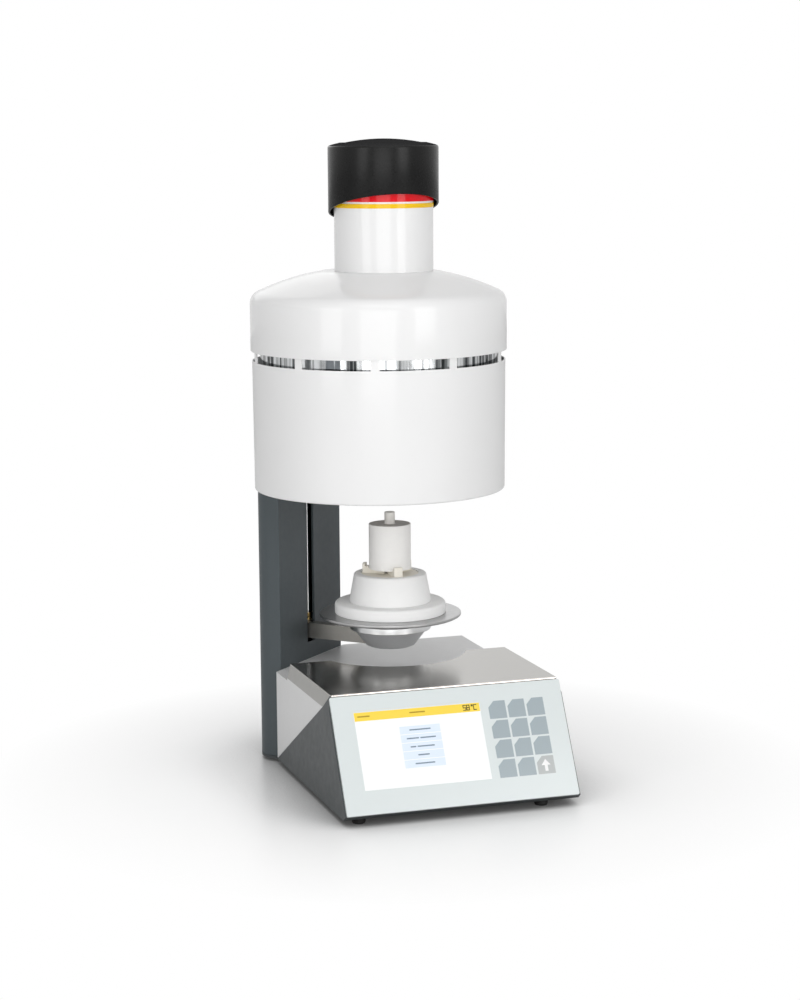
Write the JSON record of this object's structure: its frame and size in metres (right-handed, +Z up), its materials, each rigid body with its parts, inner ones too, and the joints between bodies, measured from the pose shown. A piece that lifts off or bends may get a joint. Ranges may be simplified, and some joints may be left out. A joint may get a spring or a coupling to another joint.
{
  "type": "dental firing and pressing furnace",
  "caption": "Bench-top dental furnace: sloped control base, slotted rear column, round heating hood with press neck, and a motor-driven lift table that carries an investment ring.",
  "frame": {"origin": "centre of the outer box in plan, on the bench surface under the feet", "axes": "+Z up; the control panel faces -Y; +X is to the right seen from the front"},
  "size_m": [0.314, 0.4434, 0.771],
  "materials": {
    "white_enamel": "gloss powder coat",
    "anthracite_coat": "fine-textured powder coat",
    "dark_grey_coat": "satin powder coat",
    "light_grey_coat": "satin powder coat",
    "stainless": "brushed",
    "bright_steel": "ground and polished",
    "satin_aluminium": "satin",
    "panel_glass": "clear, back-printed pale grey",
    "display_unit": "gloss",
    "key_film": "gloss",
    "circuit_board": "satin",
    "black_plastic": "fine matte",
    "black_rubber": "matte",
    "brass": "satin",
    "fibre_white": "matte fired ceramic",
    "ivory_ceramic": "matte fired ceramic",
    "investment": "chalky",
    "plunger_ceramic": "smooth sintered",
    "seal_silicone": "satin",
    "quartz": "frosted quartz",
    "heater_wire": "oxidised",
    "yellow_plastic": "gloss",
    "red_plastic": "gloss",
    "cap_plastic": "satin"
  },
  "bodies": {
    "base": {"base_tub": "dark_grey_coat", "rear_housing": "light_grey_coat", "top_plate": "stainless", "rear_panel": "light_grey_coat", "front_glass": "panel_glass", "display_module": "display_unit", "key_pads": "key_film", "control_board": "circuit_board", "power_supply": "satin_aluminium", "rubber_feet": "black_rubber", "mains_inlet": "black_plastic", "vacuum_port": "brass", "fan_frame": "black_plastic", "panel_screws": "bright_steel", "column_profile": "anthracite_coat", "column_foot_plate": "dark_grey_coat", "column_cap": "dark_grey_coat", "rail_plate": "stainless", "linear_rail": "bright_steel", "screw_bearings": "satin_aluminium", "motor_bracket": "satin_aluminium", "lift_motor": "black_plastic", "chassis_plate": "satin_aluminium", "chassis_bolts": "bright_steel", "hood_lower_shell": "white_enamel", "hood_cover": "white_enamel", "hood_floor": "light_grey_coat", "chamber_flange": "stainless", "seal_ring": "seal_silicone", "chamber_casing": "stainless", "chamber_insulation": "fibre_white", "quartz_muffle": "quartz", "heater_winding": "heater_wire", "thermocouple": "ivory_ceramic", "heat_shield": "stainless", "standoffs": "satin_aluminium", "press_plate": "satin_aluminium", "press_cylinder": "satin_aluminium", "neck_tube": "white_enamel", "yellow_band": "yellow_plastic", "red_band": "red_plastic", "top_cap": "cap_plastic"},
    "lift": {"rail_block": "bright_steel", "lift_carriage": "satin_aluminium", "lead_nut": "brass", "lift_arm": "satin_aluminium", "table_bowl": "satin_aluminium", "flange_ring": "satin_aluminium", "table_plate": "satin_aluminium", "insulation_tier": "fibre_white", "insulation_cone": "fibre_white"},
    "screw": {"lead_screw": "bright_steel", "shaft_coupling": "satin_aluminium"},
    "tray": {"firing_tray": "ivory_ceramic", "investment_ring": "investment"},
    "plunger": {"press_plunger": "plunger_ceramic"},
    "ram": {"press_ram": "bright_steel"},
    "fan": {"fan_rotor": "black_plastic"},
    "switch": {"power_switch": "black_plastic"}
  },
  "joints": [
    {"name": "table_lift", "type": "slide", "parent": "base", "child": "lift", "axis": [0, 0, 1], "range_m": [0, 0.1655]},
    {"name": "screw_spin", "type": "hinge", "parent": "base", "child": "screw", "pos_m": [-0.06386, 0.17307, 0.2], "axis": [0, 0, 1], "continuous": true},
    {"name": "tray_lift", "type": "slide", "parent": "lift", "child": "tray", "axis": [0, 0, -1], "range_m": [-0.03, 0]},
    {"name": "plunger_press", "type": "slide", "parent": "tray", "child": "plunger", "axis": [0, 0, -1], "range_m": [0, 0.014]},
    {"name": "press_stroke", "type": "slide", "parent": "base", "child": "ram", "axis": [0, 0, -1], "range_m": [0, 0.0288]},
    {"name": "fan_spin", "type": "hinge", "parent": "base", "child": "fan", "pos_m": [0.10533, 0.18083, 0.066], "axis": [0, 1, 0], "continuous": true},
    {"name": "switch_rock", "type": "hinge", "parent": "base", "child": "switch", "pos_m": [0.02933, 0.18984, 0.076], "axis": [1, 0, 0], "range_deg": [-18, 0]}
  ],
  "couplings": [
    {"joint": "screw_spin", "follows": "table_lift", "rad_per_m": -1570.8}
  ]
}
